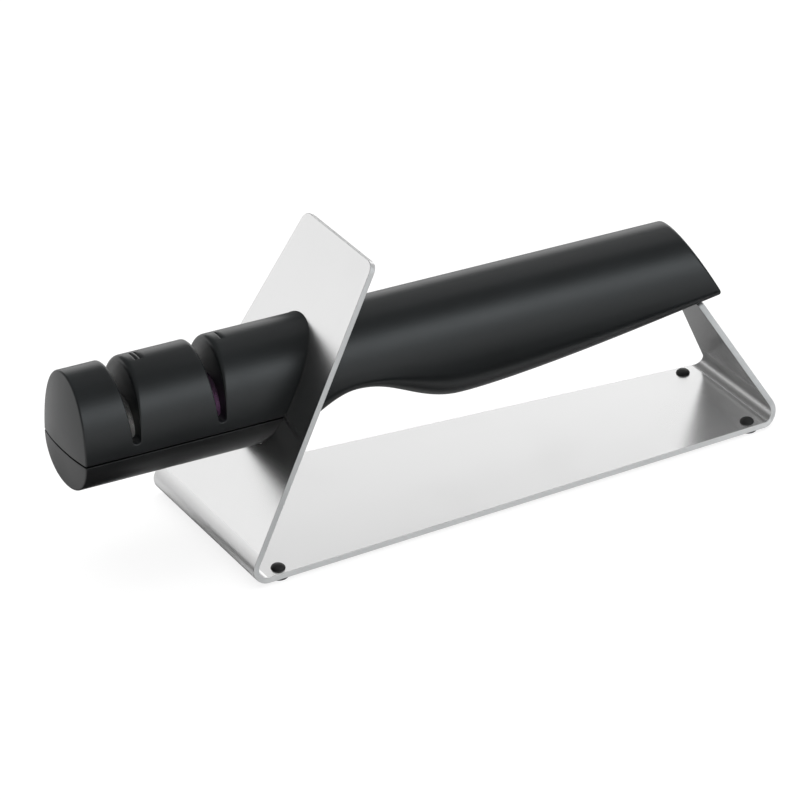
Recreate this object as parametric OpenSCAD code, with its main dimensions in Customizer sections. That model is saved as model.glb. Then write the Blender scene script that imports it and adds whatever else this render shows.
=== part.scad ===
// Two-stage knife sharpener: a hand-held wand that lies in a folded sheet-steel stand.
// Lengths are in millimetres and angles in degrees.
// X runs along the wand from its tip to its tail, Y across it, and Z up from the table.
// While it is modelled, x = 0 is the sharp outer corner between the stand's base and plate.

/* [Stand] */
// Length of the base between its two sharp outer corners
base_l = 212; // [190:1:240]
// Thickness of the sheet
sheet_t = 2; // [1.5:0.1:2.5]
// Width of the base at the plate
base_w_plate = 73.1; // [66:0.1:90]
// Width of the base at the leg
base_w_leg = 46.8; // [42:0.1:60]
// Inside radius of both bends
bend_r = 3.1; // [2:0.1:5]
// Angle between the base and the plate
plate_angle = 60.6; // [58:0.1:64]
// Length of the plate along its slope, from the sharp corner
plate_l = 110.2; // [104:0.1:125]
// Width of the plate along its top edge
plate_top_w = 44.9; // [40:0.1:60]
// Radius of the plate's two top corners
plate_corner_r = 3; // [1:0.5:8]
// Angle between the base and the leg
leg_angle = 59.9; // [57:0.1:63]
// How much narrower the leg gets for each millimetre up its slope
leg_taper = 0.58; // [0.3:0.01:0.62]
// Radius of the leg's two top corners
leg_corner_r = 1; // [0.5:0.1:3]

/* [Feet] */
// Distance from a sharp corner of the base to a foot's centre
foot_end_inset = 14.3; // [12:0.1:20]
// Distance from the side edge of the base to a foot's centre
foot_side_inset = 4; // [3.8:0.1:8]
// Diameter of the pad below the base
foot_pad_d = 7; // [5.5:0.1:7.4]
// Height of the pad, which lifts the base off the table
foot_pad_h = 1; // [0.6:0.1:2]
// Diameter of the stem in the hole of the base
foot_stem_d = 3.2; // [2.4:0.1:3.6]
// Diameter of the button above the base
foot_cap_d = 4.8; // [4.2:0.1:5.4]
// Height of the button above the base
foot_cap_h = 1.5; // [0.6:0.1:2]

/* [Wand] */
// Distance from the plate's sharp corner out to the rim of the wand's tip
tip_out = 43.8; // [42:0.1:56]
// How far the tip's face bulges beyond its rim
tip_dome = 1.5; // [0.5:0.1:2.5]
// Distance from the plate's sharp corner along to the tail, at the height of the seam
tail_out = 192.4; // [188:0.1:198]
// Angle at which the tail is cut off
tail_angle = 60; // [56:0.5:66]
// Width of the wand
wand_w = 30.5; // [29.5:0.1:33]
// Height of the seam between the head and its cover
seam_z = 46.4; // [45.5:0.1:48]
// Height of the ridge above the seam
ridge_h = 26.5; // [26:0.1:29]
// Depth of the keel below the seam
keel_h = 13.3; // [13.1:0.1:15]
// Roundness of the upper half, where 2 is an ellipse
ridge_power = 2.16; // [2:0.02:2.6]
// Roundness of the lower half
keel_power = 2.07; // [2:0.02:2.4]
// Wall of the head and its cover
head_wall = 2.2; // [1.6:0.1:2.4]
// Wall of the hollow grip, beside and above its core
grip_wall = 2.8; // [2.4:0.1:4]
// Height of the floor of the grip's core above the seam
core_floor = 3.4; // [3:0.1:6]
// How far back the grip's core ends before the tail
core_stop = 24; // [20:1:50]

/* [Grip underside] */
// Where the underside starts to rise, just behind the plate
notch_start = 26; // [25:0.1:27.5]
// Where the finger notch is deepest
notch_at = 53.5; // [48:0.5:62]
// How far the underside rises in the finger notch
notch_rise = 12.5; // [8:0.1:12.6]
// Where the belly begins, level with the keel
belly_from = 94; // [80:1:96]
// Where the belly ends and the long rise to the tail begins
belly_to = 97; // [97:1:110]
// How far the underside rises at the tail
tail_rise = 14; // [13:0.1:14.4]
// How the long rise bends upwards, where 1 is straight
rise_power = 1.46; // [1.3:0.02:1.7]
// Share of the rise that the side edges follow
edge_share = 0.42; // [0.3:0.01:0.5]

/* [Slots] */
// Distance between the two knife slots
slot_pitch = 30; // [28.5:0.1:31]
// How far the fine slot lies beyond the plate's sharp corner
fine_slot_out = 25.8; // [25.2:0.1:26.4]
// Width of a slot at its floor
slot_w = 2.8; // [2.4:0.1:3.4]
// Height of a slot's floor above the seam
slot_floor = 3.8; // [3:0.1:4.6]
// Lean of the slot's wall on the side of the tip
slot_lean = 6; // [3:0.2:9]
// Lean of the slot's wall on the side of the grip
slot_back_lean = 2; // [0:0.2:4]
// Thickness of the guide walls beside a slot
guide_t = 1.6; // [1.2:0.1:1.8]
// Length of a stage mark across the ridge
mark_l = 5; // [3:0.5:7]
// Width of one bar of a stage mark
mark_w = 0.8; // [0.5:0.1:1]
// Depth of a stage mark at the ridge
mark_depth = 0.4; // [0.2:0.1:0.8]
// Distance from a slot's middle to its stage mark
mark_offset = 6; // [5:0.1:7]

/* [Sharpening wheels] */
// Radius of a wheel
wheel_r = 10; // [9:0.1:10.2]
// Thickness of a wheel at its rim
wheel_t = 2.8; // [2:0.1:3]
// Height of the axle above the seam
axle_h = 4.1; // [3.6:0.1:4.4]
// Diameter of an axle
axle_d = 3; // [2.5:0.1:3.4]
// Radius of the hub that carries two wheels
hub_r = 3; // [2.6:0.1:3.4]
// Angle of a wheel's face from the knife's plane
face_angle = 13.5; // [12:0.5:15]
// Half the gap between two wheels at the hub
root_gap = 0.25; // [0.1:0.05:0.4]
// Thickness of a spacer washer
washer_t = 0.5; // [0.3:0.1:0.6]
// Thickness of a carrier's cheek
cheek_t = 2; // [1.6:0.1:2.2]
// Width of a carrier
carrier_w = 10; // [8:0.1:10]
// Thickness of a carrier's sole
sole_t = 2.2; // [1.8:0.1:2.4]
// Length of a carrier's foot beyond its cheek
flange_l = 5.6; // [5:0.1:5.8]
// Height of the seat below a carrier, above the keel
seat_h = 3.8; // [3.4:0.1:4]

/* [Screws] */
// Diameter of a carrier screw
carrier_screw_d = 2.2; // [1.8:0.1:2.4]
// Diameter of a carrier screw's head
carrier_head_d = 4; // [3.4:0.1:4.4]
// Diameter of a cover screw
cover_screw_d = 2.4; // [2:0.1:2.6]
// Length of a cover screw under its head
cover_screw_l = 13.4; // [12:0.1:16]
// Diameter of a cover screw's head
cover_head_d = 4.6; // [4:0.1:4.8]
// Diameter of a screw boss
boss_d = 6.8; // [6.4:0.1:7]
// Distance of the screw bosses from the middle plane
boss_y = 9; // [8.8:0.1:9.4]

/* [Clearances] */
// Gap all round between the wand and its hole in the plate
hole_gap = 0.2; // [0.15:0.05:0.5]
// Gap between the top of the leg and the grip that lies on it
leg_gap = 0.3; // [0.2:0.05:0.8]
// Radial gap between an axle and its hub
running_gap = 0.05; // [0.02:0.01:0.1]
// Radial gap between fixed pieces that are pressed or bonded
fixed_gap = 0.02; // [0.01:0.01:0.05]
// Free play at each side of a washer
end_play = 0.1; // [0.05:0.05:0.2]
// Gap round the wheels in their window
window_gap = 0.6; // [0.4:0.1:1]
// Radial gap round a screw where it passes through a piece
screw_gap = 0.15; // [0.05:0.05:0.25]

/* [Hidden] */
$fn = 64;

// Overshoot of a cut beyond the face that it goes through, and a length beyond the whole part
over = 1;
far = 400;

// Heights that several pieces share
base_z = foot_pad_h;
base_top = base_z + sheet_t;
ridge_z = seam_z + ridge_h;
keel_z = seam_z - keel_h;
axle_z = seam_z + axle_h;
seat_z = keel_z + seat_h;
sole_top = seat_z + sole_t;

// Places along the wand
tip_x = -tip_out;
fine_x = -fine_slot_out;
coarse_x = fine_x + slot_pitch;
cover_gap = 0.4;
cover_end = notch_start - cover_gap;
cavity_from = tip_x + head_wall;
cavity_to = cover_end - head_wall;
core_from = cavity_to - 2 * head_wall;
core_to = tail_out - core_stop;

// Wheel pair, measured from the middle of its slot
face_out = root_gap + (wheel_r - hub_r) * tan(face_angle);
wheel_back = face_out + wheel_t;
cheek_in = wheel_back + washer_t + 2 * end_play;
cheek_out = cheek_in + cheek_t;
axle_proud = 0.2;
carrier_screw_x = cheek_out + flange_l / 2;
carrier_head_h = 1.4;
carrier_hole_z = keel_z + 1;
cheek_top = axle_z + axle_d;

// Cover screws, in pairs between the stages and behind the coarse stage
boss_root = 1;
cover_screw_xs = [(fine_x + coarse_x) / 2, cavity_to - boss_d / 2 + boss_root];
cover_seat_h = 7;
cover_seat_z = keel_z + cover_seat_h;
cover_head_h = 1.6;
boss_below = 2;
boss_z = seam_z - boss_below;

// Cross slot in a screw's head, and the small chamfer round a foot's pad
cross_w = 0.5;
cross_share = 0.6;
pad_edge = 0.3;

// Ends of the bounding box, which put the origin under its middle
bend_r_out = bend_r + sheet_t;
stand_right = base_l - bend_r_out / tan(leg_angle / 2) + bend_r_out;
wand_left = tip_x - tip_dome;
mid_x = (stand_right + wand_left) / 2;

// Steps round a bend of the sheet, and turns from its end to its side at a round corner
bend_steps = 12;
corner_turns = [90, 72, 54, 36, 18, 0];
// Points in a ring of the wand's skin, above and below its widest line
ridge_steps = 20;
keel_steps = 14;
// Rings along each stretch of the grip, and points round its core
grip_steps = 8;
core_steps = 32;
core_power = 2.35;
// Skin beyond the tail before it is cut off
tail_spare = 4;
// Shares of the width at which the dome of the tip is drawn
dome_shares = [0.1, 0.45, 0.75, 0.9];

function signed_pow(v, e) = sign(v) * pow(abs(v), e);

// Rise of the underside at x, above the keel
function rise(x) =
    x <= notch_start ? 0
    : x <= notch_at ? notch_rise * (1 + cos(180 * (notch_at - x) / (notch_at - notch_start))) / 2
    : x <= belly_from ? notch_rise * (1 + cos(180 * (x - notch_at) / (belly_from - notch_at))) / 2
    : x <= belly_to ? 0
    : tail_rise * pow((x - belly_to) / (tail_out - belly_to), rise_power);

// Outline of the wand across its length, as [y, z] points, anticlockwise from +Y
function outline(w, top, bottom, lift) =
    let (
        edge = lift * edge_share,
        t0 = asin(pow(edge / top, ridge_power / 2)),
        edge_w = w / 2 * pow(cos(t0), 2 / ridge_power),
        depth = bottom + edge - lift
    )
    concat(
        [for (i = [0:ridge_steps - 1])
            let (t = t0 + (180 - 2 * t0) * i / ridge_steps)
            [w / 2 * signed_pow(cos(t), 2 / ridge_power), seam_z + top * pow(sin(t), 2 / ridge_power)]],
        [for (i = [0:keel_steps - 1])
            let (t = 180 + 180 * i / keel_steps)
            [edge_w * signed_pow(cos(t), 2 / keel_power),
             seam_z + edge - depth * pow(abs(sin(t)), 2 / keel_power)]]
    );

// One ring of the skin at x, drawn in towards the middle by a share
function ring(x, share = 1) =
    let (mid = seam_z + (ridge_h - keel_h) / 2)
    [for (p = outline(wand_w, ridge_h, keel_h, rise(x))) [x, p[0] * share, mid + (p[1] - mid) * share]];

dome_rings = [for (s = dome_shares) ring(tip_x - tip_dome * (1 - s * s), s)];
head_rings = concat(dome_rings, [ring(tip_x), ring(notch_start)]);
grip_rings = concat(
    [for (i = [1:grip_steps]) ring(notch_start + (notch_at - notch_start) * i / grip_steps)],
    [for (i = [1:grip_steps]) ring(notch_at + (belly_from - notch_at) * i / grip_steps)],
    [for (i = [0:grip_steps]) ring(belly_to + (tail_out + tail_spare - belly_to) * i / grip_steps)]
);

// Closed skin through a list of rings
module skin(rings) {
    n = len(rings[0]);
    last = len(rings) - 1;
    points = [for (r = rings) for (p = r) p];
    sides = [for (k = [0:last - 1]) for (i = [0:n - 1])
        let (a = k * n + i, b = k * n + (i + 1) % n)
        each [[a, a + n, b], [b, a + n, b + n]]];
    polyhedron(
        points = points,
        faces = concat([[for (i = [0:n - 1]) i]], [[for (i = [0:n - 1]) last * n + n - 1 - i]], sides)
    );
}

// Sets a [y, z] shape upright and draws it out along X
module along_x(from, to) {
    translate([from, 0, 0])
        rotate([90, 0, 90])
            linear_extrude(height = to - from)
                children();
}

// Sets an [x, z] shape upright and draws it out across Y
module across_y(width) {
    rotate([90, 0, 0])
        linear_extrude(height = width, center = true)
            children();
}

// Upright cylinder between two heights
module post(x, y, from, to, r) {
    translate([x, y, from])
        cylinder(h = to - from, r = r);
}

// Cylinder along X between two distances from a slot's middle
module rod(x, from, to, r) {
    translate([x + from, 0, axle_z])
        rotate([0, 90, 0])
            cylinder(h = to - from, r = r);
}

// Distance from a sharp corner to where its bend ends
function end_tangent(angle) = bend_r_out / tan(angle / 2);

// Foot centres: x along the base, and y at half the base's width there less the inset
foot_left_x = foot_end_inset;
foot_right_x = base_l - foot_end_inset;
function base_half_w(x) = (base_w_plate + (base_w_leg - base_w_plate) * x / base_l) / 2;
function foot_y(x) = base_half_w(x) - foot_side_inset;

// The leg ends just below the grip that lies on it
leg_end_x = base_l - (seam_z - base_z) / tan(leg_angle);
leg_l = (keel_z + rise(leg_end_x) - leg_gap - base_z) / sin(leg_angle);

function plate_half_w(s) = (base_w_plate + (plate_top_w - base_w_plate) * s / plate_l) / 2;
function leg_half_w(s) = (base_w_leg - leg_taper * s) / 2;

// Slice across the sheet, from a point of its outer face, the direction into it and half its width
function slice(p, into, half) =
    [for (q = [[0, half], [sheet_t, half], [sheet_t, -half], [0, -half]])
        [p[0] + q[0] * into[0], q[1], p[1] + q[0] * into[1]]];

// Slices of the plate and of the leg, at a distance up their slope
function plate_slice(s, half) =
    slice([s * cos(plate_angle), base_z + s * sin(plate_angle)],
          [sin(plate_angle), -cos(plate_angle)], half);
function leg_slice(s, half) =
    slice([base_l - s * cos(leg_angle), base_z + s * sin(leg_angle)],
          [-sin(leg_angle), -cos(leg_angle)], half);

// Slices round a bend, between two directions and two half widths
function bend_slices(x, from, to, from_half, to_half) =
    [for (i = [0:bend_steps])
        let (a = from + (to - from) * i / bend_steps, out = [cos(a), sin(a)])
        slice([x, base_z + bend_r_out] + bend_r_out * out, -out,
              from_half + (to_half - from_half) * i / bend_steps)];

plate_tangent = end_tangent(plate_angle);
leg_tangent = end_tangent(leg_angle);
sheet_slices = concat(
    [for (a = corner_turns)
        let (s = plate_l - plate_corner_r * (1 - sin(a)))
        plate_slice(s, plate_half_w(s) - plate_corner_r * (1 - cos(a)))],
    bend_slices(plate_tangent, 90 + plate_angle, 270, plate_half_w(plate_tangent),
                base_half_w(plate_tangent)),
    bend_slices(base_l - leg_tangent, 270, 450 - leg_angle, base_half_w(base_l - leg_tangent),
                leg_half_w(leg_tangent)),
    [for (i = [len(corner_turns) - 1:-1:0])
        let (a = corner_turns[i], s = leg_l - leg_corner_r * (1 - sin(a)))
        leg_slice(s, leg_half_w(s) - leg_corner_r * (1 - cos(a)))]
);

module stand() {
    color([0.80, 0.80, 0.80])
        difference() {
            skin(sheet_slices);
            along_x(0, plate_l)
                polygon(outline(wand_w + 2 * hole_gap, ridge_h + hole_gap, keel_h + hole_gap, 0));
            for (x = [foot_left_x, foot_right_x], s = [-1, 1])
                post(x, s * foot_y(x), base_z - over, base_top + over, foot_stem_d / 2 + fixed_gap);
        }
}

// Rubber foot pushed up through the base: pad below, stem in the hole, button above
module foot(x, side) {
    pad_r = foot_pad_d / 2;
    cap_r = foot_cap_d / 2;
    color([0.08, 0.08, 0.08])
        translate([x, side * foot_y(x), 0])
            rotate_extrude()
                polygon([
                    [0, 0], [pad_r - pad_edge, 0], [pad_r, pad_edge], [pad_r, base_z],
                    [foot_stem_d / 2, base_z], [foot_stem_d / 2, base_top],
                    for (a = [0:15:75]) [cap_r * cos(a), base_top + foot_cap_h * sin(a)],
                    [0, base_top + foot_cap_h]
                ]);
}

// A slot seen from the side, grown by the thickness of its guide walls
module slot_shape(x, grow) {
    from = seam_z + slot_floor + slot_w / 2;
    to = ridge_z + over;
    half = slot_w / 2 + grow;
    translate([x, from])
        circle(r = half);
    polygon([
        [x - half, from], [x + half, from],
        [x + half + (to - from) * tan(slot_back_lean), to],
        [x - half - (to - from) * tan(slot_lean), to]
    ]);
}

// Hollow of the head, above and below the seam
module head_cavity() {
    along_x(cavity_from, cavity_to)
        polygon(outline(wand_w - 2 * head_wall, ridge_h - head_wall, keel_h - head_wall, 0));
}

// Hollow of the grip, which opens into the head
module grip_core() {
    top = ridge_h - grip_wall;
    mid = (top + core_floor) / 2;
    half_w = wand_w / 2 - grip_wall;
    along_x(core_from, core_to)
        polygon([for (i = [0:core_steps - 1])
            let (t = 360 * i / core_steps)
            [half_w * signed_pow(cos(t), 2 / core_power),
             seam_z + mid + (top - mid) * signed_pow(sin(t), 2 / core_power)]]);
}

// Bars cut across the ridge beside a slot, as many as the stage's number
module stage_mark(x, bars) {
    for (i = [0:bars - 1])
        translate([x + mark_offset + i * 2 * mark_w, -mark_l / 2, ridge_z - mark_depth])
            cube([mark_w, mark_l, 2 * mark_depth]);
}

// Everything below the seam, as far along as an end
module below_seam(end) {
    translate([end - far, -far / 2, seam_z - far])
        cube(far);
}

// Upright cylinders at the four cover screws
module screw_posts(from, to, r) {
    for (x = cover_screw_xs, s = [-1, 1])
        post(x, s * boss_y, from, to, r);
}

// Guide walls and screw bosses inside the head, rooted in the middle of its wall
module head_ribs() {
    intersection() {
        union() {
            for (x = [coarse_x, fine_x])
                across_y(wand_w)
                    slot_shape(x, guide_t);
            screw_posts(boss_z, ridge_z, boss_d / 2);
        }
        along_x(cavity_from, cavity_to)
            polygon(outline(wand_w - head_wall, ridge_h - head_wall / 2, keel_h, 0));
    }
}

module handle() {
    color([0.13, 0.14, 0.15])
        difference() {
            union() {
                difference() {
                    skin(concat(head_rings, grip_rings));
                    head_cavity();
                    grip_core();
                }
                head_ribs();
            }
            difference() {
                below_seam(notch_start);
                screw_posts(boss_z, seam_z + over, boss_d / 2);
            }
            for (x = [coarse_x, fine_x]) {
                across_y(2 * wand_w)
                    slot_shape(x, 0);
                rod(x, -cheek_in, cheek_in, wheel_r + window_gap);
            }
            screw_posts(boss_z - over, cover_seat_z + cover_screw_l + over, cover_screw_d / 2 + fixed_gap);
            stage_mark(coarse_x, 1);
            stage_mark(fine_x, 2);
            translate([tail_out, 0, seam_z])
                rotate([0, tail_angle - 90, 0])
                    translate([0, -far / 2, -far / 2])
                        cube([far, far, far]);
        }
}

module head_cover() {
    color([0.12, 0.12, 0.13])
        difference() {
            intersection() {
                skin(head_rings);
                below_seam(cover_end);
                union() {
                    difference() {
                        below_seam(cover_end);
                        head_cavity();
                    }
                    screw_posts(0, boss_z, boss_d / 2);
                    for (x = [coarse_x, fine_x], s = [-1, 1])
                        translate([x + s * carrier_screw_x - flange_l / 2, -carrier_w / 2, 0])
                            cube([flange_l, carrier_w, seat_z]);
                }
            }
            screw_posts(0, cover_seat_z, cover_head_d / 2 + screw_gap);
            screw_posts(0, boss_z + over, cover_screw_d / 2 + screw_gap);
            screw_posts(boss_z, seam_z + over, boss_d / 2 + screw_gap);
            for (x = [coarse_x, fine_x], s = [-1, 1])
                post(x + s * carrier_screw_x, 0, carrier_hole_z, seat_z + over, carrier_screw_d / 2 + fixed_gap);
        }
}

// Pan-head screw that points up from its seat, with a cross slot in its head
module screw(x, y, seat, dir, d, length, head_d, head_h) {
    translate([x, y, seat])
        mirror([0, 0, dir < 0 ? 1 : 0])
            difference() {
                union() {
                    cylinder(h = length, d = d);
                    translate([0, 0, -head_h])
                        cylinder(h = head_h, d = head_d);
                }
                for (a = [0, 90])
                    rotate(a)
                        translate([-head_d * cross_share / 2, -cross_w / 2, -head_h - over])
                            cube([head_d * cross_share, cross_w, over + head_h / 2]);
            }
}

module cover_screws() {
    color([0.55, 0.55, 0.56])
        for (x = cover_screw_xs, s = [-1, 1])
            screw(x, s * boss_y, cover_seat_z, 1, cover_screw_d, cover_screw_l, cover_head_d,
                  cover_head_h);
}

// Plugs that close the cover over its screws, flush with its skin
module screw_plugs() {
    color([0.12, 0.12, 0.13])
        intersection() {
            skin(head_rings);
            screw_posts(0, cover_seat_z - cover_head_h - screw_gap,
                        cover_head_d / 2 + screw_gap - fixed_gap);
        }
}

module carrier_screws() {
    color([0.55, 0.55, 0.56])
        for (x = [coarse_x, fine_x], s = [-1, 1])
            screw(x + s * carrier_screw_x, 0, sole_top, -1, carrier_screw_d,
                  sole_top - carrier_hole_z - screw_gap, carrier_head_d, carrier_head_h);
}

// U-shaped plastic cradle that holds an axle by its two ends
module carrier(x) {
    color([0.25, 0.25, 0.27])
        difference() {
            union() {
                translate([x - cheek_out - flange_l, -carrier_w / 2, seat_z])
                    cube([2 * (cheek_out + flange_l), carrier_w, sole_t]);
                for (s = [-1, 1])
                    translate([x + s * (cheek_in + cheek_out) / 2 - cheek_t / 2, -carrier_w / 2, seat_z])
                        cube([cheek_t, carrier_w, cheek_top - seat_z]);
            }
            rod(x, -far, far, axle_d / 2 + fixed_gap);
            for (s = [-1, 1])
                post(x + s * carrier_screw_x, 0, seat_z - over, sole_top + over, carrier_screw_d / 2 + screw_gap);
        }
}

module axle(x) {
    color([0.70, 0.70, 0.71])
        rod(x, -cheek_out - axle_proud, cheek_out + axle_proud, axle_d / 2);
}

// Sleeve that turns on the axle and carries both wheels of a stage
module hub(x) {
    color([0.80, 0.68, 0.38])
        difference() {
            rod(x, -wheel_back, wheel_back, hub_r - fixed_gap);
            rod(x, -far, far, axle_d / 2 + running_gap);
        }
}

// Abrasive ring with one coned face; two of them make the groove that the edge is drawn through
module wheel(x, side, tint) {
    color(tint)
        translate([x, 0, axle_z])
            rotate([0, side * 90, 0])
                rotate_extrude()
                    polygon([
                        [hub_r, root_gap], [wheel_r, face_out],
                        [wheel_r, wheel_back], [hub_r, wheel_back]
                    ]);
}

module washers(x) {
    color([0.75, 0.75, 0.76])
        for (s = [-1, 1])
            difference() {
                rod(x, s * (wheel_back + end_play + washer_t / 2) - washer_t / 2,
                    s * (wheel_back + end_play + washer_t / 2) + washer_t / 2, hub_r);
                rod(x, -far, far, axle_d / 2 + running_gap);
            }
}

coarse_tint = [0.72, 0.50, 0.56];
fine_tint = [0.86, 0.85, 0.83];

translate([-mid_x, 0, 0]) {
    stand();
    foot(foot_left_x, -1);  // foot_front_left
    foot(foot_right_x, -1);  // foot_front_right
    foot(foot_left_x, 1);  // foot_back_left
    foot(foot_right_x, 1);  // foot_back_right
    handle();
    head_cover();
    cover_screws();
    screw_plugs();
    carrier_screws();
    carrier(coarse_x);  // coarse_carrier
    axle(coarse_x);  // coarse_axle
    hub(coarse_x);  // coarse_hub
    wheel(coarse_x, -1, coarse_tint);  // coarse_wheel_left
    wheel(coarse_x, 1, coarse_tint);  // coarse_wheel_right
    washers(coarse_x);  // coarse_washers
    carrier(fine_x);  // fine_carrier
    axle(fine_x);  // fine_axle
    hub(fine_x);  // fine_hub
    wheel(fine_x, -1, fine_tint);  // fine_wheel_left
    wheel(fine_x, 1, fine_tint);  // fine_wheel_right
    washers(fine_x);  // fine_washers
}
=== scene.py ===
"""Looks for a two-stage knife sharpener: a matt black wand lying in a folded stainless-steel stand.

Shapes are written in millimetres, with x from the sharp corner between the stand's base and plate, as in the
part's source; place() turns them into metres in the row frame. Finer shells of the same shapes, with rounded
edges, replace the CAD nodes of the stand, the handle and the head cover. The studio is written in metres.
"""

import math

import bpy
import numpy as np
from mathutils import Matrix, Vector
from mathutils.geometry import delaunay_2d_cdt


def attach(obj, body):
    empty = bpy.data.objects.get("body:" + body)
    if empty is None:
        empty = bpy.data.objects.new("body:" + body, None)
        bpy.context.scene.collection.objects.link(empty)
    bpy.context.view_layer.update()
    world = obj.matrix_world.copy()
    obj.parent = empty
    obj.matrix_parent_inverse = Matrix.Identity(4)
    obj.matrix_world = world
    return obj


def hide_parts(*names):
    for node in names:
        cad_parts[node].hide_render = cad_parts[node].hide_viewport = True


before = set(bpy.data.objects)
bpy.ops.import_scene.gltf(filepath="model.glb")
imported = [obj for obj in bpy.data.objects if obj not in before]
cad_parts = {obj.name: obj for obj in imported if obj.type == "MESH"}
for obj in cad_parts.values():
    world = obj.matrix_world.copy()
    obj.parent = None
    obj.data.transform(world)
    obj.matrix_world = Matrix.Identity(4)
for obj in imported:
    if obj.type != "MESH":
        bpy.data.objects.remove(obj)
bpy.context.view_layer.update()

# Sizes of the stand, as in the part's source
BASE_L = 212.0
BASE_W_PLATE = 73.1
BASE_W_LEG = 46.8
BASE_Z = 1.0
SHEET_T = 2.0
BEND_R = 3.1
PLATE_ANGLE = math.radians(60.6)
PLATE_L = 110.2
PLATE_TOP_W = 44.9
PLATE_CORNER_R = 3.0
LEG_ANGLE = math.radians(59.9)
LEG_TAPER = 0.58
LEG_CORNER_R = 1.0
LEG_GAP = 0.3
FOOT_END_INSET = 14.3
FOOT_SIDE_INSET = 4.0
FOOT_HOLE_R = 1.62

# Sizes of the wand, as in the part's source. The heights of its ridge and keel are measured from the seam.
TIP_X = -43.8
TIP_DOME = 1.5
TAIL_X = 192.4
TAIL_ANGLE = math.radians(60.0)
HALF_W = 15.25
SEAM_Z = 46.4
RIDGE_H = 26.5
KEEL_H = 13.3
RIDGE_POWER = 2.16
KEEL_POWER = 2.07
NOTCH_START = 26.0
NOTCH_AT = 53.5
NOTCH_RISE = 12.5
BELLY_FROM = 94.0
BELLY_TO = 97.0
TAIL_RISE = 14.0
RISE_POWER = 1.46
EDGE_SHARE = 0.42

# Sizes of the head, as in the part's source. A slot's height is that of the middle of its round floor.
FINE_X = -25.8
COARSE_X = 4.2
SLOT_HALF = 1.4
SLOT_Z = 51.6
SLOT_LEAN = math.radians(6.0)
SLOT_BACK_LEAN = math.radians(2.0)
GUIDE_T = 1.6
WINDOW_R = 10.6
AXLE_Z = 50.5
MARK_L = 5.0
MARK_W = 0.8
MARK_OFFSET = 6.0
COVER_END = 25.6
SCREW_XS = (-10.8, 21.0)
SCREW_Y = 9.0
SEAT_Z = 40.1
BORE_R = 2.45
SCREW_HOLE_R = 1.35

# The part's hole is wider by 0.1 and its marks are shallower by 0.1
HOLE_GAP = 0.1
MARK_DEPTH = 0.5

# Small roundings, which the part leaves out
SHEET_ROUND = 0.16
# Share of it at the edge of the wand's hole
HOLE_ROUND_SHARE = 0.2
RIM_ROUND = 0.55
# Edges along the seam, the gap from the seam's middle to either, and how far their faces run inwards
SEAM_ROUND = 0.45
SEAM_HALF_GAP = 0.24
SEAM_DEPTH = 1.8
# Edge of a slot, and how much more it has up on the ridge, towards the tip and towards the grip
MOUTH = 0.5
MOUTH_MORE_AT_TIP = 0.9
MOUTH_MORE_AT_GRIP = 1.5
# Sloping walls of a stage mark's bars, along the wand and across it
MARK_SLOPE = 0.1
MARK_END = 0.12
# Edge of the tail, along the grip and across the cut, and the bulge of the cut face
TAIL_ROUND = 1.3
TAIL_ROUND_IN = 1.2
TAIL_BULGE = 0.25
BORE_ROUND = 0.15

# Places that follow from the sizes
BEND_OUT = BEND_R + SHEET_T
MIDDLE_X = (BASE_L - BEND_OUT / math.tan(LEG_ANGLE / 2) + BEND_OUT + TIP_X - TIP_DOME) / 2
MIDDLE_Z = SEAM_Z + (RIDGE_H - KEEL_H) / 2
SLOTS = ((FINE_X, 2), (COARSE_X, 1))


def place(points):
    """Millimetres from the sharp corner to metres in the row frame."""
    return (np.asarray(points, float) - (MIDDLE_X, 0, 0)) * 0.001


# Meshes
class Shell:
    """Patches of faces. Points that coincide within a group are joined; groups meet at sharp edges."""

    def __init__(self):
        self.points = []
        self.faces = []
        self.known = {}

    def vertex(self, point, group):
        key = (group, round(point[0], 3), round(point[1], 3), round(point[2], 3))
        if key not in self.known:
            self.known[key] = len(self.points)
            self.points.append(tuple(point))
        return self.known[key]

    def add(self, points, faces, out, group=0):
        """Adds faces over points; the whole patch is turned so that it faces along out(centre)."""
        points = np.asarray(points, float)
        score = 0.0
        for face in faces:
            corners = points[list(face)]
            one, two, last = corners[1] - corners[0], corners[2] - corners[0], corners[-1] - corners[0]
            normal = np.cross(two, last) + np.cross(one, two)
            score += float(normal @ np.asarray(out(corners.mean(0)), float))
        ids = [self.vertex(point, group) for point in points]
        for face in faces:
            loop = [ids[i] for i in face]
            loop = [v for k, v in enumerate(loop) if v != loop[k - 1]]
            if len(set(loop)) >= 3 and len(set(loop)) == len(loop):
                self.faces.append(tuple(loop if score > 0 else loop[::-1]))

    def grid(self, rows, out, group=0, wrap=False):
        """Adds the faces between rows, a list of equally long lists of points."""
        points = np.asarray(rows, float)
        count, width = points.shape[:2]
        faces = []
        for i in range(count - 1):
            here, there = i * width, (i + 1) * width
            for j in range(width if wrap else width - 1):
                after = (j + 1) % width
                faces.append((here + j, here + after, there + after, there + j))
        self.add(points.reshape(-1, 3), faces, out, group)

    def cap(self, loop, out):
        """Closes a loop of points with one face."""
        self.add(loop, [tuple(range(len(loop)))], out)

    def build(self, name, material):
        """Makes the object, with smooth shading that follows the larger faces at each point."""
        places = place(self.points)
        mesh = bpy.data.meshes.new(name)
        mesh.from_pydata(places.tolist(), [], self.faces)
        mesh.update()
        normals = np.zeros((len(places), 3))
        for face in mesh.polygons:
            weighted = np.array(face.normal) * face.area
            for v in face.vertices:
                normals[v] += weighted
        length = np.linalg.norm(normals, axis=1, keepdims=True)
        normals = normals / np.where(length > 0, length, 1)
        mesh.shade_smooth()
        mesh.normals_split_custom_set_from_vertices(normals.tolist())
        mesh.materials.append(material)
        piece = bpy.data.objects.new(name, mesh)
        bpy.context.scene.collection.objects.link(piece)
        return piece


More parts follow.
